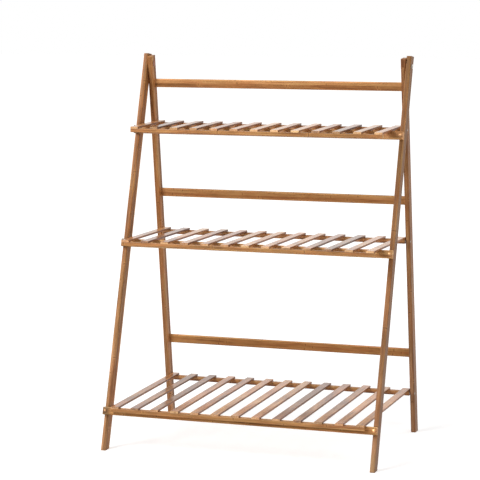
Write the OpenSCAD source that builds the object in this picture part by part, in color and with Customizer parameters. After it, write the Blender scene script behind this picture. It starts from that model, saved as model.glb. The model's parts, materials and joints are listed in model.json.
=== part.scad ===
// Folding ladder stand for plants, in bamboo. A wide front frame leans back against a rear
// frame, and the two are hinged together near their tops. Three slatted shelves turn on pins
// in the rear legs and rest on the rails of the front frame.
//
// Millimetres. X runs along the shelves, Y from front to rear and Z up. The origin is on the
// floor, in the middle of the feet.

/* [Frame] */
// Width over the two front legs
stand_w = 702; // [500:1:900]
// Depth over the feet, from front edge to rear edge, before their corners are rounded
foot_depth = 434; // [414:1:459]
// Height of the hinge between the two frames
hinge_z = 930.5; // [912:0.5:1000]
// Distance of that hinge behind the middle of the feet
hinge_back = 111.5; // [100:0.5:125]
// Thickness of a leg, along X
leg_t = 12; // [8:0.5:14]
// Depth of a leg, square to its length
leg_d = 28; // [24:1:34]
// Length of a front leg beyond the hinge
front_leg_past = 25.5; // [18:0.5:40]
// Length of a rear leg beyond the hinge
rear_leg_past = 20; // [18:0.5:40]
// Radius of the corners at the ends of a leg, seen from the side
leg_end_r = 3; // [1:0.5:5]
// Gap between a front leg and the rear leg beside it
leg_gap = 0.6; // [0.5:0.1:2]
// Radius along the edges of a leg
leg_edge_r = 3.5; // [0.5:0.1:3.5]
// Radius along the edges of front rails and guard rails
edge_r = 2; // [0.5:0.1:2.5]

/* [Front rails] */
// Height of a front rail, measured along the leg
front_rail_h = 19; // [16:1:30]
// Thickness of a front rail, in front of the legs
front_rail_t = 12; // [8:0.5:16]

/* [Guard rails] */
// Height of a guard rail, measured along the rear leg
guard_rail_h = 21; // [16:1:30]
// Thickness of a guard rail, behind the middle of the rear legs
guard_rail_t = 10; // [6:0.5:12]
// Height of the lower edge of the bottom guard rail
bottom_guard_z = 195; // [183:0.5:258]
// Height of the lower edge of the middle guard rail
middle_guard_z = 586.5; // [578:0.5:638]
// Height of the lower edge of the top guard rail
top_guard_z = 869.5; // [858:0.5:882]

/* [Shelves] */
// Height of the bottom shelf, under its slats and over its pins
bottom_shelf_z = 108; // [95:0.5:115]
// Angle at which the bottom shelf falls to the front
bottom_slope = 0.3; // [0:0.1:1]
// Height of the middle shelf, under its slats and over its pins
middle_shelf_z = 501; // [496:0.5:520]
// Angle at which the middle shelf falls to the rear
middle_slope = 1.3; // [0:0.1:2]
// Height of the top shelf, under its slats
top_shelf_z = 780.5; // [778:0.5:798]
// Length of the middle shelf in front of its rail
middle_overhang = 64; // [40:1:66]
// Length of the top shelf in front of its rail
top_overhang = 85; // [40:1:90]
// Gap between a shelf and the rear leg at each of its ends
shelf_side_gap = 2; // [1:0.5:5]

/* [Slats] */
// Number of slats in each shelf
slat_count = 13; // [5:1:13]
// Width of a slat
slat_w = 20; // [12:1:30]
// Thickness of a slat
slat_t = 5; // [4:0.5:8]
// Radius along the edges of slats and of the bars under them
slat_edge_r = 1; // [0.3:0.1:1.5]
// Height of the strip under the front ends of the slats
strip_h = 9; // [6:0.5:14]
// Thickness of that strip, front to rear
strip_t = 9; // [7:0.5:12]

/* [Shelf pivots] */
// Height of the rail under the rear ends of the slats
shelf_rail_h = 11; // [10:0.5:14]
// Thickness of that rail, front to rear
shelf_rail_t = 12; // [10:0.5:14]
// Distance from the middle of a rear leg forward to a shelf pin
pin_forward = 8; // [7:0.5:9]
// Length of the slats behind the shelf pin
slat_past_pin = 8; // [6:0.5:9]
// Diameter of a shelf pin
pin_d = 5; // [4:0.5:6]
// Depth of a shelf pin in the end of the shelf rail
pin_in_rail = 18; // [10:1:30]

/* [Hinge bolts] */
// Diameter of the bolt shank
bolt_d = 5; // [4:0.5:6]
// Diameter of the bolt head
bolt_head_d = 13; // [10:0.5:16]
// Height of the bolt head
bolt_head_h = 3; // [2:0.5:4]
// Diameter of the sleeve on which the rear leg turns
sleeve_d = 8; // [7:0.5:10]
// Diameter of the flange that ends the sleeve
flange_d = 15; // [12:0.5:18]
// Thickness of that flange
flange_t = 1; // [0.8:0.1:1.4]

/* [Rail screws] */
// Diameter of the screw shank
screw_d = 3.5; // [3:0.1:4.5]
// Diameter of the screw head
screw_head_d = 8; // [6:0.5:9]
// Height of the screw head
screw_head_h = 1.8; // [1:0.1:3]
// Depth of a rail screw in the leg
screw_in_leg = 18; // [10:1:20]

/* [Clearances] */
// Rest gap between a shelf and the front rail under it
rest_gap = 0.3; // [0.2:0.1:0.5]
// Gap between the strip of the bottom shelf and the front rail behind it
strip_gap = 1; // [0.5:0.1:2]
// Gap between the sleeve flange and the rear leg
flange_gap = 0.3; // [0.2:0.1:0.5]
// Running clearance round sleeves and pins, on the radius
turn_gap = 0.05; // [0.03:0.01:0.1]
// Clearance round screws and bolt shanks, on the radius
screw_gap = 0.05; // [0.03:0.01:0.2]
// Depth of a blind hole beyond the end of its screw, bolt or pin
hole_past = 1; // [0.5:0.1:2]

/* [Hidden] */
$fn = 48;

front_leg_x = stand_w / 2 - leg_t / 2;
rear_leg_x = front_leg_x - leg_t - leg_gap;
rear_inner_x = rear_leg_x - leg_t / 2;

// Each leg's outer face runs from the edge of its foot and passes the hinge at half a leg's depth.
front_run = hinge_back + foot_depth / 2;
rear_run = foot_depth / 2 - hinge_back;
front_lean = atan2(front_run, hinge_z) - asin(leg_d / 2 / norm([front_run, hinge_z]));
rear_lean = atan2(rear_run, hinge_z) - asin(leg_d / 2 / norm([rear_run, hinge_z]));

shelf_w = 2 * (rear_inner_x - shelf_side_gap);
slat_pitch = (shelf_w - slat_w) / (slat_count - 1);

// The strip of the bottom shelf hangs just in front of the leaning front rail.
bottom_overhang = strip_t + strip_gap + strip_h * tan(front_lean + bottom_slope);

// One row for each level: name, height of the shelf, angle at which it falls to the rear, its
// overhang, and height of the guard rail.
levels = [
    ["bottom", bottom_shelf_z, -bottom_slope, bottom_overhang, bottom_guard_z],
    ["middle", middle_shelf_z, middle_slope, middle_overhang, middle_guard_z],
    ["top", top_shelf_z, 0, top_overhang, top_guard_z]
];
sides = [["left", -1], ["right", 1]];

bamboo = [0.71, 0.47, 0.27];
pale_bamboo = [0.80, 0.60, 0.40];
brass = [0.80, 0.66, 0.40];
dark_steel = [0.22, 0.20, 0.19];
steel = [0.62, 0.62, 0.60];

function slat_name(level, i) = str(level[0], "_slat_", i < 10 ? "0" : "", i);

// Shelf pins: their height, and their place along the rear leg and from front to rear.
function pin_z(level) = level[1] - shelf_rail_h / 2;
function pin_along(level) =
    (pin_z(level) - hinge_z + pin_forward * sin(rear_lean)) / cos(rear_lean);
function pin_y(level) =
    hinge_back - pin_forward * cos(rear_lean) - pin_along(level) * sin(rear_lean);

// Centre of a front rail along the leg: its upper front edge carries the shelf.
rail_centre_y = -leg_d / 2 - front_rail_t / 2;
rail_edge_y = rail_centre_y - front_rail_t / 2 + edge_r;
function pins_over_hinge(level) =
    sin(level[2]) * (pin_y(level) - hinge_back) + cos(level[2]) * (pin_z(level) - hinge_z);
function front_rail_along(level) =
    let (turn = front_lean - level[2])
    (pins_over_hinge(level) + shelf_rail_h / 2 - rest_gap - edge_r + rail_edge_y * sin(turn)) / cos(turn)
    - front_rail_h / 2 + edge_r;

// Front end of a shelf, from its pins: the overhang starts in the plane of the front rails' faces.
function pins_behind_faces(level) =
    (pin_y(level) - hinge_back) * cos(front_lean) - (pin_z(level) - hinge_z) * sin(front_lean)
    + leg_d / 2 + front_rail_t;
function shelf_front(level) =
    let (turn = front_lean - level[2])
    (shelf_rail_h / 2 * sin(turn) - pins_behind_faces(level)) / cos(turn) - level[3];

// Rectangle about the origin with rounded corners.
module rounded_rect(w, h, r) {
    square([w - 2 * r, h], center = true);
    square([w, h - 2 * r], center = true);
    for (x = [-1, 1], y = [-1, 1])
        translate([x * (w / 2 - r), y * (h / 2 - r)]) circle(r);
}

// Rounding of corner b of an outline, between its neighbours a and c: centre and the two ends.
function unit(v) = v / norm(v);
function rounding(a, b, c, r) =
    let (to_a = unit(a - b), to_c = unit(c - b), half = acos(to_a * to_c) / 2)
    [b + unit(to_a + to_c) * r / sin(half), b + to_a * r / tan(half), b + to_c * r / tan(half)];

// Convex outline with rounded corners.
module rounded_outline(points, r) {
    n = len(points);
    corners = [
        for (i = [0 : n - 1])
            rounding(points[(i + n - 1) % n], points[i], points[(i + 1) % n], r)
    ];
    polygon([for (corner = corners) each [corner[1], corner[2]]]);
    for (corner = corners)
        translate(corner[0]) circle(r);
}

// Bar along X, about the origin.
module cross_bar(length, depth, height, r) {
    rotate([90, 0, 90])
        linear_extrude(length, center = true)
            rounded_rect(depth, height, r);
}

// Rod or bore along X from x0 to x1.
module x_rod(d, x0, x1) {
    translate([x0, 0, 0])
        rotate([0, 90, 0])
            cylinder(d = d, h = x1 - x0);
}

// Rod or bore along Y from y0 to y1.
module y_rod(d, y0, y1) {
    translate([0, y0, 0])
        rotate([-90, 0, 0])
            cylinder(d = d, h = y1 - y0);
}

// The frames' own axes: origin on the hinge, Z up along the legs and Y to the rear.
module in_front_frame() {
    translate([0, hinge_back, hinge_z])
        rotate([-front_lean, 0, 0])
            children();
}

module in_rear_frame() {
    translate([0, hinge_back, hinge_z])
        rotate([rear_lean, 0, 0])
            children();
}

// A shelf's own axes: origin on its pins, Z square to its slats and Y to the rear.
module in_shelf(level) {
    translate([0, pin_y(level), pin_z(level)])
        rotate([-level[2], 0, 0])
            children();
}

// Leg along Z, past the hinge at one end and cut level by the floor at the other. Back is the
// angle at which it leans back, and top_slope the angle at which its top rises to the rear.
module leg_bar(back, past, top_slope) {
    front = -leg_d / 2;
    rear = leg_d / 2;
    foot_front = (front * sin(back) - hinge_z) / cos(back);
    foot_rear = (rear * sin(back) - hinge_z) / cos(back);
    rise = leg_d / 2 * tan(top_slope);
    intersection() {
        translate([0, 0, -1.2 * hinge_z])
            linear_extrude(2 * hinge_z)
                rounded_rect(leg_t, leg_d, leg_edge_r);
        rotate([90, 0, 90])
            linear_extrude(2 * leg_t, center = true)
                rounded_outline(
                    [[front, foot_front], [rear, foot_rear], [rear, past + rise], [front, past - rise]],
                    leg_end_r
                );
    }
}

// The top of a front leg is cut half-way between square and level.
module front_leg(side) {
    color(pale_bamboo)
        in_front_frame()
            translate([side * front_leg_x, 0, 0])
                difference() {
                    leg_bar(front_lean, front_leg_past, front_lean / 2);
                    x_rod(bolt_d + 2 * screw_gap, -leg_t, leg_t);
                    for (level = levels)
                        translate([0, 0, front_rail_along(level)])
                            y_rod(screw_d + 2 * screw_gap, -leg_d, screw_in_leg + hole_past - leg_d / 2);
                }
}

module rear_leg(side) {
    color(bamboo)
        in_rear_frame()
            translate([side * rear_leg_x, 0, 0])
                difference() {
                    leg_bar(-rear_lean, rear_leg_past, 0);
                    x_rod(sleeve_d + 2 * turn_gap, -leg_t, leg_t);
                    for (level = levels)
                        translate([0, -pin_forward, pin_along(level)])
                            x_rod(pin_d, -leg_t, leg_t);
                }
}

module front_rail(level) {
    color(bamboo)
        in_front_frame()
            translate([0, rail_centre_y, front_rail_along(level)])
                difference() {
                    cross_bar(stand_w, front_rail_t, front_rail_h, edge_r);
                    for (side = sides)
                        translate([side[1] * front_leg_x, 0, 0])
                            y_rod(screw_d + 2 * screw_gap, -front_rail_t, front_rail_t);
                }
}

module guard_rail(level) {
    along = (level[4] - hinge_z) / cos(rear_lean) + guard_rail_h / 2;
    color(bamboo)
        in_rear_frame()
            translate([0, guard_rail_t / 2, along])
                cross_bar(2 * rear_inner_x, guard_rail_t, guard_rail_h, edge_r);
}

module shelf_strip(level) {
    color(bamboo)
        in_shelf(level)
            translate([0, shelf_front(level) + strip_t / 2, shelf_rail_h / 2 - strip_h / 2])
                cross_bar(shelf_w, strip_t, strip_h, slat_edge_r);
}

module shelf_rail(level) {
    color(bamboo)
        in_shelf(level)
            difference() {
                cross_bar(shelf_w, shelf_rail_t, shelf_rail_h, slat_edge_r);
                for (side = [0, 1])
                    mirror([side, 0, 0])
                        x_rod(pin_d + 2 * turn_gap, shelf_w / 2 - pin_in_rail - hole_past, shelf_w);
            }
}

// Slat number i of a level, counted from the left.
module slat(level, i) {
    x = -shelf_w / 2 + slat_w / 2 + (i - 1) * slat_pitch;
    color(pale_bamboo)
        in_shelf(level)
            translate([x, slat_past_pin, shelf_rail_h / 2 + slat_t / 2])
                rotate([90, 0, 0])
                    linear_extrude(slat_past_pin - shelf_front(level))
                        rounded_rect(slat_w, slat_t, slat_edge_r);
}

// Domed screw or bolt head along Z, with its flat side on Z = 0.
module domed_head(d, h) {
    rim = h / 2;
    ball_r = (d * d / 4 + rim * rim) / (2 * rim);
    intersection() {
        cylinder(d = d, h = h);
        translate([0, 0, h - ball_r]) sphere(ball_r, $fn = 96);
    }
}

module rail_screws() {
    rail_face_y = -leg_d / 2 - front_rail_t;
    color(brass)
        in_front_frame()
            for (level = levels, side = sides)
                translate([side[1] * front_leg_x, 0, front_rail_along(level)]) {
                    translate([0, rail_face_y, 0])
                        rotate([90, 0, 0])
                            domed_head(screw_head_d, screw_head_h);
                    y_rod(screw_d, rail_face_y, screw_in_leg - leg_d / 2);
                }
}

// The bolt passes through the front leg into the sleeve, which it clamps against that leg.
sleeve_end_x = front_leg_x - leg_t / 2;
flange_x = rear_inner_x - flange_gap;

module hinge_bolts() {
    color(dark_steel)
        in_front_frame()
            for (side = [0, 1])
                mirror([side, 0, 0]) {
                    translate([stand_w / 2, 0, 0])
                        rotate([0, 90, 0])
                            domed_head(bolt_head_d, bolt_head_h);
                    x_rod(bolt_d, rear_leg_x, stand_w / 2);
                }
}

module hinge_sleeves() {
    color(steel)
        in_front_frame()
            for (side = [0, 1])
                mirror([side, 0, 0])
                    difference() {
                        union() {
                            x_rod(sleeve_d, flange_x - flange_t, sleeve_end_x);
                            x_rod(flange_d, flange_x - flange_t, flange_x);
                        }
                        x_rod(bolt_d + 2 * screw_gap, rear_leg_x - hole_past, stand_w / 2);
                    }
}

module shelf_pins() {
    rear_outer_x = rear_leg_x + leg_t / 2;
    color(steel)
        for (level = levels, side = [0, 1])
            mirror([side, 0, 0])
                in_shelf(level)
                    x_rod(pin_d, shelf_w / 2 - pin_in_rail, rear_outer_x);
}

for (side = sides) {
    front_leg(side[1]);
    rear_leg(side[1]);
}
for (level = levels) {
    front_rail(level);
    guard_rail(level);
    shelf_strip(level);
    shelf_rail(level);
    for (i = [1 : slat_count])
        slat(level, i);
}
rail_screws();
hinge_bolts();
hinge_sleeves();
shelf_pins();
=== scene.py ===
"""Plant ladder stand: bamboo and metal surfaces, a plain soft studio and the photograph's camera."""

import json
import math

import bmesh
import bpy
from mathutils import Matrix, Vector


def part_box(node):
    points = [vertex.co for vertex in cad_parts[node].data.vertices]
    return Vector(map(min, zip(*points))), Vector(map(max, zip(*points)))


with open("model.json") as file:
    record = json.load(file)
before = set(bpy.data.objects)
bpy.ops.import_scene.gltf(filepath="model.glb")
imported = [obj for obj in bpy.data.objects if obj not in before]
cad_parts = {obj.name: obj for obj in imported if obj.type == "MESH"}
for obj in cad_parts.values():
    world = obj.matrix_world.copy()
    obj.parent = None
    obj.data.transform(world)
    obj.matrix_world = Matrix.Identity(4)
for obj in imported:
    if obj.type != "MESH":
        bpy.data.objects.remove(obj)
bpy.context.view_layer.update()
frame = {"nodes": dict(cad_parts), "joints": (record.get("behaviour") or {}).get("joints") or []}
nodes = frame["nodes"]

# ---------------------------------------------------------------- the frame's own measures

LEVELS = ("bottom", "middle", "top")
SIDES = ("left", "right")
HINGE = Vector(next(j["pos_m"] for j in frame["joints"] if j["name"] == "frame_hinge"))

# Angles of the two frames from the vertical, true to about 0.02 degrees: the front one leans back,
# the rear one forward.
FRONT_LEAN = math.radians(-18.65)
REAR_LEAN = math.radians(5.62)

# Steps in height and across that tell one bar from the next. Their borders are half a step off
# zero. The one 0.495 m up runs through the middle front rail and the middle shelf's rail, and the
# middle and top shelves lie in the same step.
LEVEL_STEP = 0.33
SIDE_STEP = 0.50

# ---------------------------------------------------------------- shader nodes in short


def linear(r, g, b):
    """A colour given as it shows on a screen, 0 to 255, as linear light."""
    def channel(c):
        c /= 255
        return c / 12.92 if c <= 0.04045 else ((c + 0.055) / 1.055) ** 2.4
    return (channel(r), channel(g), channel(b), 1.0)


WHITE = (1.0, 1.0, 1.0, 1.0)


class Graph:
    """Short ways to add nodes to one tree."""

    def __init__(self, tree):
        self.tree = tree
        tree.nodes.clear()

    def add(self, kind, **settings):
        node = self.tree.nodes.new(kind)
        for name, value in settings.items():
            setattr(node, name, value)
        return node

    def put(self, socket, value):
        """Links a socket to an output, or sets its value."""
        if isinstance(value, bpy.types.NodeSocket):
            self.tree.links.new(value, socket)
        else:
            socket.default_value = value

    def math(self, operation, *values):
        node = self.add("ShaderNodeMath", operation=operation)
        for i, value in enumerate(values):
            self.put(node.inputs[i], value)
        return node.outputs[0]

    def sum(self, *values):
        total = values[0]
        for value in values[1:]:
            total = self.math("ADD", total, value)
        return total

    def times(self, a, b):
        return self.math("MULTIPLY", a, b)

    def about(self, value, amount):
        """A 0 to 1 value, as a push of half the amount either way."""
        return self.math("MULTIPLY", self.math("SUBTRACT", value, 0.5), amount)

    def mix(self, factor, a, b, blend="MIX"):
        node = self.add("ShaderNodeMix", data_type="RGBA", blend_type=blend)
        self.put(node.inputs["Factor"], factor)
        self.put(node.inputs[6], a)
        self.put(node.inputs[7], b)
        return node.outputs[2]

    def tinted(self, colour, where, tone):
        """The colour times a tone where the second value is 1, and as it was where it is 0."""
        return self.mix(1.0, colour, self.mix(where, WHITE, (*tone, 1.0)), blend="MULTIPLY")

    def from_middle(self, value):
        """How far a value's fraction is from a half."""
        return self.math("ABSOLUTE", self.math("SUBTRACT", self.math("FRACT", value), 0.5))

    def span(self, value, low, high, to_low=0.0, to_high=1.0):
        node = self.add("ShaderNodeMapRange", interpolation_type="SMOOTHSTEP")
        for i, number in enumerate((value, low, high, to_low, to_high)):
            self.put(node.inputs[i], number)
        return node.outputs[0]

    def join(self, x, y, z):
        node = self.add("ShaderNodeCombineXYZ")
        for i, value in enumerate((x, y, z)):
            self.put(node.inputs[i], value)
        return node.outputs[0]

    def split(self, vector):
        node = self.add("ShaderNodeSeparateXYZ")
        self.put(node.inputs[0], vector)
        return list(node.outputs)

    def noise(self, vector, scale, detail=3.0, roughness=0.55, distortion=0.0):
        node = self.add("ShaderNodeTexNoise")
        self.put(node.inputs["Vector"], vector)
        node.inputs["Scale"].default_value = scale
        node.inputs["Detail"].default_value = detail
        node.inputs["Roughness"].default_value = roughness
        node.inputs["Distortion"].default_value = distortion
        return node.outputs["Fac"]

    def random(self, vector):
        node = self.add("ShaderNodeTexWhiteNoise", noise_dimensions="3D")
        self.put(node.inputs["Vector"], vector)
        return node.outputs["Value"]

    def ramp(self, value, stops):
        node = self.add("ShaderNodeValToRGB")
        self.put(node.inputs[0], value)
        elements = node.color_ramp.elements
        while len(elements) < len(stops):
            elements.new(0.5)
        for element, (place, colour) in zip(elements, stops):
            element.position = place
            element.color = colour
        return node.outputs[0]

    def bump(self, height, strength):
        node = self.add("ShaderNodeBump")
        node.inputs["Strength"].default_value = strength
        node.inputs["Distance"].default_value = 1.0
        self.put(node.inputs["Height"], height)
        return node.outputs[0]


def new_surface(name):
    """A material with a Principled shader, its graph and that shader."""
    material = bpy.data.materials.new(name)
    material.use_nodes = True
    g = Graph(material.node_tree)
    shader = g.add("ShaderNodeBsdfPrincipled")
    output = g.add("ShaderNodeOutputMaterial")
    g.put(output.inputs["Surface"], shader.outputs[0])
    return material, g, shader


def give(node, material):
    for slot in nodes[node].material_slots:
        slot.material = material


# ---------------------------------------------------------------- bamboo

# Axis order that brings a bar's length to the first place, then the two directions across it.
ALONG_X = (0, 1, 2)
ALONG_Y = (1, 0, 2)
ALONG_Z = (2, 0, 1)

DARK_FIBRE = linear(114, 74, 42)
MID_FIBRE = linear(176, 124, 78)
PALE_FIBRE = linear(212, 164, 114)
FIBRE_STOPS = ((0.30, DARK_FIBRE), (0.50, MID_FIBRE), (0.72, PALE_FIBRE))
FLECK = linear(96, 58, 30)
CULM_LINE = linear(88, 54, 30)
CULM_HALO = linear(206, 150, 92)
RUBBED = linear(228, 184, 132)
REDDER = (1.05, 0.96, 0.90, 1.0)
YELLOWER = (0.97, 1.02, 0.94, 1.0)

# Scales of the noises, and how they are drawn out along a bar or moved from strip to strip.
FIBRE_SCALE = 1500.0
FLECK_SCALE = 900.0
STREAK_SCALE = 330.0
WOBBLE_SCALE = 260.0
RUB_SCALE = 60.0
PATCH_SCALE = 11.0
HUE_SCALE = 7.7
STRETCH = 0.018
PATCH_SQUEEZE = 3.0
STRIP_SHIFT = 7.0
HUE_SHIFT = 31.0

# Ranges of a noise, or of a normal's direction, over which a mark or tone comes in. The rubbed
# edges go out over theirs.
FLECK_RANGE = (0.60, 0.72)
HUE_RANGE = (0.36, 0.64)
RUB_RANGE = (0.42, 0.62)
EDGE_RANGE = (0.80, 0.985)
FACE_RANGE = (0.35, 0.75)

# How far each thing moves the tone, and how much of the colour a mark covers.
FIBRE_WEIGHT = 0.50
STREAK_WEIGHT = 0.50
STRIP_SPREAD = 0.22
BAR_SPREAD = 0.12
PATCH_SPREAD = 0.42
FLECK_COVER = 0.55
HALO_COVER = 0.35
LINE_COVER = 0.70
GLUE_COVER = 0.45
RUB_COVER = 0.45

# Culm nodes and glue lines in metres. The stagger is in spacings.
CULM_SPACING = 0.235
CULM_STAGGER = 5.3
CULM_START = 9.0
CULM_LINE_CORE = 0.0005
CULM_LINE_HALF = 0.0016
CULM_HALO_HALF = 0.0080
CULM_WOBBLE = 0.0022
CULM_BOW = 0.0016
GLUE_CORE = 0.000075
GLUE_HALF = 0.00030

# Reach of the rubbed edges in metres, and the samples that find them.
EDGE_REACH = 0.0022
EDGE_SAMPLES = 6

# Heights between which the painted floor light on a leg goes out, and where and over what reach the
# painted shade at a front rail's left end comes in, in metres.
FLOOR_LIGHT_LOW = 0.02
FLOOR_LIGHT_HIGH = 0.62
RAIL_SHADE_PLACE = -0.325
RAIL_SHADE_REACH = 0.016

# Tone of the slats' sawn front ends, and weight of the lacquer on their sides.
SAWN_TONE = (1.08, 1.24, 1.50)
SIDE_LACQUER = 0.15

# Roughness of the wood: the range of its fibres and rubbed edges, and what that becomes.
ROUGH_FROM = (0.3, 0.9)
ROUGH_TO = (0.42, 0.60)
RUB_ROUGHNESS = 0.3

# Relief of the marks in metres, a culm line's depth as a share of a glue line's, and the bump.
FIBRE_RELIEF = 0.00010
CULM_RELIEF = 0.00010
GLUE_RELIEF = 0.00012
LINE_DEPTH = 0.6
RELIEF_STRENGTH = 0.7


def bar_number(g, place, cell):
    """A random number for each bar, told from the next by the cell that its place is in."""
    cells = []
    for value, size in zip(g.split(place), cell):
        cells.append(g.math("FLOOR", g.math("DIVIDE", g.sum(value, size / 2), size)))
    return g.random(g.join(*cells))


def culm_nodes(g, place, along, row, strip):
    """Culm nodes: a thin dark line across the strip, bowed and uneven, in a paler band."""
    wobble = g.about(g.noise(place, WOBBLE_SCALE), CULM_WOBBLE)
    bow = g.times(g.from_middle(row), CULM_BOW)
    stagger = g.times(strip, CULM_SPACING * CULM_STAGGER)
    run = g.sum(along, CULM_START, stagger, wobble, bow)
    away = g.times(g.from_middle(g.math("DIVIDE", run, CULM_SPACING)), CULM_SPACING)
    line = g.span(away, CULM_LINE_CORE, CULM_LINE_HALF, 1.0, 0.0)
    halo = g.span(away, CULM_LINE_HALF, CULM_HALO_HALF, 1.0, 0.0)
    return line, halo


def glue_lines(g, rows, strips):
    """1 on the lines between strips."""
    reaches = []
    for row, size in zip(rows, strips):
        reaches.append(g.times(g.math("SUBTRACT", 0.5, g.from_middle(row)), size))
    return g.span(g.math("MINIMUM", *reaches), GLUE_CORE, GLUE_HALF, 1.0, 0.0)


def rubbed_edges(g, place):
    """1 on stretches of the edges, where the stain is thinner."""
    bevel = g.add("ShaderNodeBevel", samples=EDGE_SAMPLES)
    bevel.inputs["Radius"].default_value = EDGE_REACH
    facing = g.add("ShaderNodeVectorMath", operation="DOT_PRODUCT")
    g.put(facing.inputs[0], bevel.outputs[0])
    g.put(facing.inputs[1], g.add("ShaderNodeNewGeometry").outputs["True Normal"])
    edge = g.span(facing.outputs["Value"], *EDGE_RANGE, 1.0, 0.0)
    return g.times(edge, g.span(g.noise(place, RUB_SCALE, detail=4.0), *RUB_RANGE))


def bamboo(name, order, lean, strips, strip_origin, cell, tint, gloss, seed,
           floor_light_tone=None, left_shade_tone=None, side_shade_tone=None, spread=(BAR_SPREAD, PATCH_SPREAD)):
    """Glued bamboo strips: fibres along the bar, culm nodes across each strip, and thin lacquer.

    order brings the bar's length first and lean turns the axes with its frame. strips gives a
    strip's size in the two directions across, strip_origin is where strips are counted from, and
    cell tells one bar from the next by its place. tint multiplies the whole colour. gloss gives the
    specular level, the weight of the lacquer and its roughness. seed gives each wood its own random
    strips. floor_light_tone is painted light: a paler, greyer tint that comes in toward the floor, for
    the white floor's light on a leg. left_shade_tone is painted shade: a darker tint at the left end.
    side_shade_tone is painted shade on the left and right sides, which also take less lacquer, and it
    pales the sawn front ends. spread is how far bars and patches differ in tone.
    """
    material, g, shader = new_surface(name)
    coordinates = g.add("ShaderNodeTexCoord")
    place = coordinates.outputs["Object"]
    x, _, z = g.split(place)
    turned = g.add("ShaderNodeMapping", vector_type="TEXTURE")
    g.put(turned.inputs["Vector"], place)
    turned.inputs["Location"].default_value = HINGE
    turned.inputs["Rotation"].default_value = (lean, 0.0, 0.0)
    own = g.split(turned.outputs[0])
    along, across, through = (own[i] for i in order)

    # Which bar, and which strip of the bar, a point is in.
    bar = bar_number(g, place, cell)
    rows = []
    for value, size, origin in zip((across, through), strips, strip_origin):
        rows.append(g.math("DIVIDE", g.math("SUBTRACT", value, origin), size))
    strip = g.random(g.join(g.math("FLOOR", rows[0]), g.math("FLOOR", rows[1]), g.sum(bar, seed)))

    # Fibres, dark flecks, broad streaks and patches, each strip with its own run of them.
    run = g.sum(along, g.times(strip, STRIP_SHIFT))
    stretched = g.join(g.times(run, STRETCH), across, through)
    fibres = g.noise(stretched, FIBRE_SCALE, detail=4.0, roughness=0.6)
    flecks = g.span(g.noise(stretched, FLECK_SCALE, detail=2.0), *FLECK_RANGE)
    streaks = g.noise(stretched, STREAK_SCALE, detail=2.0, distortion=0.3)
    patches = g.noise(g.join(run, g.times(across, PATCH_SQUEEZE), through), PATCH_SCALE, detail=3.0)
    hue = g.noise(g.join(g.sum(run, HUE_SHIFT), across, through), HUE_SCALE, detail=2.0)
    culm_line, culm_halo = culm_nodes(g, place, along, rows[0], strip)
    glue = glue_lines(g, rows, strips)
    rub = rubbed_edges(g, place)

    bar_spread, patch_spread = spread
    tone = g.sum(g.times(fibres, FIBRE_WEIGHT), g.times(streaks, STREAK_WEIGHT))
    tone = g.sum(tone, g.about(strip, STRIP_SPREAD), g.about(bar, bar_spread))
    tone = g.sum(tone, g.about(patches, patch_spread))
    colour = g.ramp(tone, FIBRE_STOPS)
    toward = g.mix(g.span(hue, *HUE_RANGE), REDDER, YELLOWER)
    colour = g.mix(1.0, colour, toward, blend="MULTIPLY")
    colour = g.mix(g.times(flecks, FLECK_COVER), colour, FLECK)
    colour = g.mix(g.times(culm_halo, HALO_COVER), colour, CULM_HALO)
    colour = g.mix(g.times(culm_line, LINE_COVER), colour, CULM_LINE)
    colour = g.mix(g.times(glue, GLUE_COVER), colour, CULM_LINE)
    colour = g.mix(g.times(rub, RUB_COVER), colour, RUBBED)
    colour = g.mix(1.0, colour, (*tint, 1.0), blend="MULTIPLY")

    level, lacquer, lacquer_roughness = gloss
    # Painted light: a paler, greyer tint toward the floor, for the white floor's light on the legs.
    if floor_light_tone:
        colour = g.tinted(colour, g.span(z, FLOOR_LIGHT_LOW, FLOOR_LIGHT_HIGH, 1.0, 0.0), floor_light_tone)
    # Painted shade: a darker tint at the front rails' left ends.
    if left_shade_tone:
        colour = g.tinted(colour, g.span(x, RAIL_SHADE_PLACE - RAIL_SHADE_REACH, RAIL_SHADE_PLACE, 1.0, 0.0), left_shade_tone)
    # Painted shade: the slats' left and right sides are darkened.
    if side_shade_tone:
        face_x, face_y, _ = g.split(coordinates.outputs["Normal"])
        sideways = g.span(g.math("ABSOLUTE", face_x), *FACE_RANGE)
        forward = g.span(g.times(face_y, -1.0), *FACE_RANGE)
        colour = g.tinted(colour, sideways, side_shade_tone)
        colour = g.tinted(colour, forward, SAWN_TONE)
        lacquer = g.span(sideways, 0.0, 1.0, lacquer, SIDE_LACQUER)
    g.put(shader.inputs["Base Color"], colour)

    roughness = g.span(g.sum(fibres, g.times(rub, RUB_ROUGHNESS)), *ROUGH_FROM, *ROUGH_TO)
    g.put(shader.inputs["Roughness"], roughness)
    shader.inputs["Specular IOR Level"].default_value = level
    g.put(shader.inputs["Coat Weight"], lacquer)
    shader.inputs["Coat Roughness"].default_value = lacquer_roughness

    height = g.sum(g.times(fibres, FIBRE_RELIEF), g.times(culm_halo, CULM_RELIEF))
    dips = g.math("MAXIMUM", glue, g.times(culm_line, LINE_DEPTH))
    height = g.math("SUBTRACT", height, g.times(dips, GLUE_RELIEF))
    g.put(shader.inputs["Normal"], g.bump(height, RELIEF_STRENGTH))
    return material


# Finishes: specular level, weight of the lacquer and its roughness.
SATIN = (0.13, 0.03, 0.30)
STRIP_GLOSS = (0.25, 0.20, 0.22)
LACQUERED = (0.40, 0.78, 0.14)

# Low edges of the right legs and the step between slats, read from the frame.
front_leg_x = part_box("front_leg_right")[0].x
rear_leg_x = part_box("rear_leg_right")[0].x
slat_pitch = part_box("bottom_slat_02")[0].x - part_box("bottom_slat_01")[0].x

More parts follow.
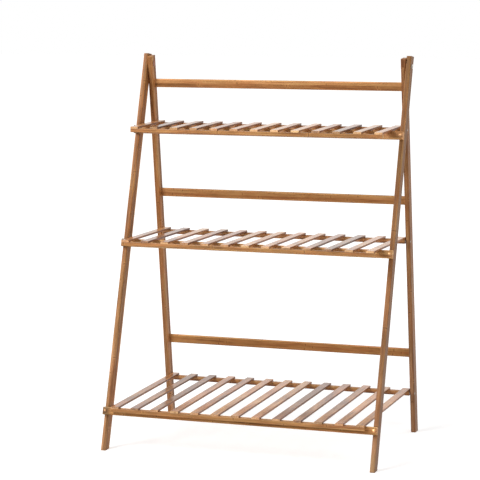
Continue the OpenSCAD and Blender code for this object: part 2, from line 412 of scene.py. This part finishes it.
# Sizes of a strip across each kind of bar, where strips are counted from, and the cells that tell
# bars apart. WHOLE is more than the stand's size. Some borders between strips lie on a bar's own
# face, and that face takes the glue line's tone: both sides of the right legs, the guard rails'
# fronts, the tops of the top shelf's strip and rail, and more or less of the fronts and backs of
# the legs and of the upper two front rails. The tints below were set with that in place. A slat's
# second size is a layer's height. One border between layers crosses the middle slats' sloping tops
# 71 mm behind their fronts, as a soft dark band.
LEG_STRIPS = (0.012, 0.007)
RAIL_STRIPS = (0.012, 0.006)
SHELF_STRIPS = (0.009, 0.010)
GUARD_STRIPS = (0.0105, 0.0055)
SLAT_STRIPS = (slat_pitch / 2, 0.02)
CENTRED = (0.0, 0.0)
FRONT_RAIL_ORIGIN = (-0.026, 0.0)
SLAT_ORIGIN = (-slat_pitch / 4, 0.0)
WHOLE = 9.0
LEG_CELL = (SIDE_STEP, WHOLE, WHOLE)
RAIL_CELL = (WHOLE, WHOLE, LEVEL_STEP)
SLAT_CELL = (slat_pitch, WHOLE, LEVEL_STEP)

# Tints of the woods. They follow the photograph under the lamps below, so they hold some of its
# light too: the left front leg's is about 1.45 times the right one's.
FRONT_TINTS = {"left": (1.15, 1.13, 1.11), "right": (0.80, 0.77, 0.74)}
REAR_TINTS = {"left": (1.03, 0.96, 0.88), "right": (0.95, 0.90, 0.90)}
GUARD_TINTS = {"bottom": (1.30, 1.24, 1.14), "middle": (1.30, 1.26, 1.18), "top": (1.54, 1.54, 1.50)}
FRONT_RAIL_TINT = (1.24, 1.27, 1.22)
STRIP_TINT = (0.96, 0.92, 0.80)
SHELF_RAIL_TINT = (0.90, 0.84, 0.74)
SLAT_TINT = (1.21, 1.14, 1.04)
# Painted light on the legs toward the floor.
PAINTED_FLOOR_LIGHT = (0.98, 1.07, 1.36)
# Painted shade at the front rails' left ends.
PAINTED_RAIL_SHADE = (0.46, 0.52, 0.62)
# Painted shade on the slats' sides.
PAINTED_SIDE_SHADE = (0.48, 0.38, 0.31)
SLAT_SPREAD = (0.30, 0.75)

for side in SIDES:
    front_wood = bamboo(f"bamboo_front_leg_{side}", ALONG_Z, FRONT_LEAN, LEG_STRIPS,
                        (front_leg_x, 0.0), LEG_CELL, FRONT_TINTS[side], SATIN,
                        seed=0.0, floor_light_tone=PAINTED_FLOOR_LIGHT)
    rear_wood = bamboo(f"bamboo_rear_leg_{side}", ALONG_Z, REAR_LEAN, LEG_STRIPS,
                       (rear_leg_x, 0.0), LEG_CELL, REAR_TINTS[side], SATIN,
                       seed=3.0, floor_light_tone=PAINTED_FLOOR_LIGHT)
    give(f"front_leg_{side}", front_wood)
    give(f"rear_leg_{side}", rear_wood)

front_rail_wood = bamboo("bamboo_front_rails", ALONG_X, FRONT_LEAN, RAIL_STRIPS, FRONT_RAIL_ORIGIN,
                         RAIL_CELL, FRONT_RAIL_TINT, SATIN, seed=5.0, left_shade_tone=PAINTED_RAIL_SHADE)
strip_wood = bamboo("bamboo_strips", ALONG_X, 0.0, SHELF_STRIPS, CENTRED,
                    RAIL_CELL, STRIP_TINT, STRIP_GLOSS, seed=13.0)
shelf_rail_wood = bamboo("bamboo_shelf_rails", ALONG_X, 0.0, RAIL_STRIPS, CENTRED,
                         RAIL_CELL, SHELF_RAIL_TINT, STRIP_GLOSS, seed=17.0)
slat_wood = bamboo("bamboo_slats", ALONG_Y, 0.0, SLAT_STRIPS, SLAT_ORIGIN,
                   SLAT_CELL, SLAT_TINT, LACQUERED, seed=21.0,
                   side_shade_tone=PAINTED_SIDE_SHADE, spread=SLAT_SPREAD)
for level in LEVELS:
    guard_wood = bamboo(f"bamboo_{level}_guard_rail", ALONG_X, REAR_LEAN, GUARD_STRIPS, CENTRED,
                        RAIL_CELL, GUARD_TINTS[level], SATIN, seed=8.0)
    give(f"{level}_guard_rail", guard_wood)
    give(f"{level}_front_rail", front_rail_wood)
    give(f"{level}_shelf_strip", strip_wood)
    give(f"{level}_shelf_rail", shelf_rail_wood)
for name in nodes:
    if "_slat_" in name:
        give(name, slat_wood)

# ---------------------------------------------------------------- metal

# Scales of the specks and stains, the specks' range, their relief in metres and its strength.
SPECK_SCALE = 900.0
STAIN_SCALE = 160.0
SPECK_RANGE = (0.3, 0.7)
SPECK_RELIEF = 0.00002
SPECK_STRENGTH = 0.3

# Dulling: over which heights and places across it comes in, in metres, how much of it each gives,
# and the range from bright to dull. It is duller higher up, and on the left it is painted shade.
DULL_HEIGHTS = (0.15, 0.60)
DULL_BY_HEIGHT = 0.55
LEFT_SHADE_ACROSS = (-0.1, 0.1)
PAINTED_SHADE_ON_LEFT = 0.80
SHADE_AND_HEIGHT_SHARE = 0.8
STAIN_SHARE = 0.9
SPECK_SHARE = 0.5
DULLING_RANGE = (0.15, 0.75)

# How far specks and age move the roughness down and up.
SMOOTHER = 0.06
ROUGHER = 0.08


def metal(name, bright, dull, roughness):
    """Plated metal with fine specks and stains, duller higher up and with painted shade on the left."""
    material, g, shader = new_surface(name)
    place = g.add("ShaderNodeTexCoord").outputs["Object"]
    x, _, z = g.split(place)
    by_height = g.span(z, *DULL_HEIGHTS, 0.0, DULL_BY_HEIGHT)
    # Painted shade: the fasteners on the left are made duller.
    which = g.sum(by_height, g.span(x, *LEFT_SHADE_ACROSS, PAINTED_SHADE_ON_LEFT, 0.0))
    specks = g.noise(place, SPECK_SCALE, detail=5.0)
    stains = g.noise(place, STAIN_SCALE, detail=3.0)
    dulling_and_shade = g.sum(g.times(which, SHADE_AND_HEIGHT_SHARE), g.about(stains, STAIN_SHARE), g.about(specks, SPECK_SHARE))
    g.put(shader.inputs["Base Color"], g.mix(g.span(dulling_and_shade, *DULLING_RANGE), bright, dull))
    speckled = g.span(specks, *SPECK_RANGE, roughness - SMOOTHER, roughness + ROUGHER)
    g.put(shader.inputs["Roughness"], g.sum(speckled, g.times(which, ROUGHER)))
    shader.inputs["Metallic"].default_value = 1.0
    g.put(shader.inputs["Normal"], g.bump(g.times(specks, SPECK_RELIEF), SPECK_STRENGTH))
    return material


# Each kind of fastener: its material, its bright and dull colours and its roughness.
METALS = {
    "rail_screws": ("brass_screws", linear(206, 158, 112), linear(104, 78, 58), 0.42),
    "hinge_bolts": ("bolt_heads", linear(190, 184, 176), linear(140, 132, 124), 0.34),
    "hinge_sleeves": ("bronze_sleeves", linear(172, 128, 108), linear(140, 98, 80), 0.45),
    "shelf_pins": ("steel_pins", linear(184, 182, 178), linear(134, 130, 124), 0.32),
}
for fasteners, (name, bright, dull, roughness) in METALS.items():
    give(fasteners, metal(name, bright, dull, roughness))

# ---------------------------------------------------------------- camera, as the photograph was taken

CAMERA_PLACE = Vector((1.703, -4.732, 1.2795))
CAMERA_YAW = math.radians(20.41)
CAMERA_PITCH = math.radians(-8.723)
CAMERA_ROLL = math.radians(-0.727)
LENS_MM = 154.87
SENSOR_MM = 36.0
CLIP_START = 0.1
CLIP_END = 60.0

camera_data = bpy.data.cameras.new("camera")
camera_data.lens = LENS_MM
camera_data.sensor_width = SENSOR_MM
camera_data.clip_start = CLIP_START
camera_data.clip_end = CLIP_END
camera = bpy.data.objects.new("camera", camera_data)
bpy.context.scene.collection.objects.link(camera)
tilt = Matrix.Rotation(math.pi / 2 + CAMERA_PITCH, 4, "X") @ Matrix.Rotation(CAMERA_ROLL, 4, "Z")
camera.matrix_world = Matrix.Translation(CAMERA_PLACE) @ Matrix.Rotation(CAMERA_YAW, 4, "Z") @ tilt
bpy.context.scene.camera = camera

# ---------------------------------------------------------------- floor, light and background

FLOOR_HALF = 14.0
FLOOR_COLOUR = (0.72, 0.72, 0.72, 1.0)
GLOW_NEAR = 0.62
GLOW_FAR = 0.90
NEAR_REACH = 0.7
FAR_REACH = 2.6
AMBIENT = 0.30
BACKDROP = 1.0
SUBJECT = Vector((0.0, 0.0, 0.5))
KEY_PLACE = Vector((-1.9, -2.4, 2.8))
KEY_SIZE = 1.8
KEY_WATTS = 124.0
FILL_PLACE = Vector((3.2, -1.6, 0.9))
FILL_SIZE = 2.0
FILL_WATTS = 34.0
REAR_PLACE = Vector((2.8, 2.8, 2.6))
REAR_SIZE = 2.0
REAR_WATTS = 30.0


def seen_directly(g):
    """1 for rays from the camera, in mirrors and through glass, 0 for light that reaches the object."""
    rays = g.add("ShaderNodeLightPath")
    kinds = ("Is Camera Ray", "Is Glossy Ray", "Is Transmission Ray")
    return g.math("MINIMUM", g.sum(*(rays.outputs[kind] for kind in kinds)), 1.0)


def make_floor():
    mesh = bpy.data.meshes.new("floor")
    shape = bmesh.new()
    bmesh.ops.create_grid(shape, x_segments=1, y_segments=1, size=FLOOR_HALF)
    shape.to_mesh(mesh)
    shape.free()
    floor = bpy.data.objects.new("floor", mesh)
    bpy.context.scene.collection.objects.link(floor)
    material = bpy.data.materials.new("floor")
    material.use_nodes = True
    g = Graph(material.node_tree)
    output = g.add("ShaderNodeOutputMaterial")
    lit = g.add("ShaderNodeBsdfDiffuse")
    lit.inputs["Color"].default_value = FLOOR_COLOUR
    glow = g.add("ShaderNodeEmission")
    glow.inputs["Color"].default_value = WHITE
    place = g.add("ShaderNodeTexCoord").outputs["Object"]
    away = g.add("ShaderNodeVectorMath", operation="LENGTH")
    g.put(away.inputs[0], place)
    strength = g.span(away.outputs["Value"], NEAR_REACH, FAR_REACH, GLOW_NEAR, GLOW_FAR)
    g.put(glow.inputs["Strength"], strength)
    both = g.add("ShaderNodeAddShader")
    g.put(both.inputs[0], lit.outputs[0])
    g.put(both.inputs[1], glow.outputs[0])
    choose = g.add("ShaderNodeMixShader")
    g.put(choose.inputs[0], seen_directly(g))
    g.put(choose.inputs[1], lit.outputs[0])
    g.put(choose.inputs[2], both.outputs[0])
    g.put(output.inputs["Surface"], choose.outputs[0])
    mesh.materials.append(material)


def make_world():
    world = bpy.data.worlds.new("studio")
    world.use_nodes = True
    bpy.context.scene.world = world
    g = Graph(world.node_tree)
    output = g.add("ShaderNodeOutputWorld")
    ambient = g.add("ShaderNodeBackground")
    ambient.inputs["Color"].default_value = WHITE
    ambient.inputs["Strength"].default_value = AMBIENT
    backdrop = g.add("ShaderNodeBackground")
    backdrop.inputs["Color"].default_value = WHITE
    backdrop.inputs["Strength"].default_value = BACKDROP
    choose = g.add("ShaderNodeMixShader")
    g.put(choose.inputs[0], seen_directly(g))
    g.put(choose.inputs[1], ambient.outputs[0])
    g.put(choose.inputs[2], backdrop.outputs[0])
    g.put(output.inputs["Surface"], choose.outputs[0])


def soft_lamp(name, place, size, watts):
    data = bpy.data.lights.new(name, "AREA")
    data.shape = "SQUARE"
    data.size = size
    data.energy = watts
    light = bpy.data.objects.new(name, data)
    bpy.context.scene.collection.objects.link(light)
    light.location = place
    light.rotation_mode = "QUATERNION"
    light.rotation_quaternion = (SUBJECT - place).to_track_quat("-Z", "Y")


make_floor()
make_world()
soft_lamp("key", KEY_PLACE, KEY_SIZE, KEY_WATTS)
soft_lamp("fill", FILL_PLACE, FILL_SIZE, FILL_WATTS)
soft_lamp("rear", REAR_PLACE, REAR_SIZE, REAR_WATTS)

bpy.context.scene.view_settings.view_transform = "Standard"
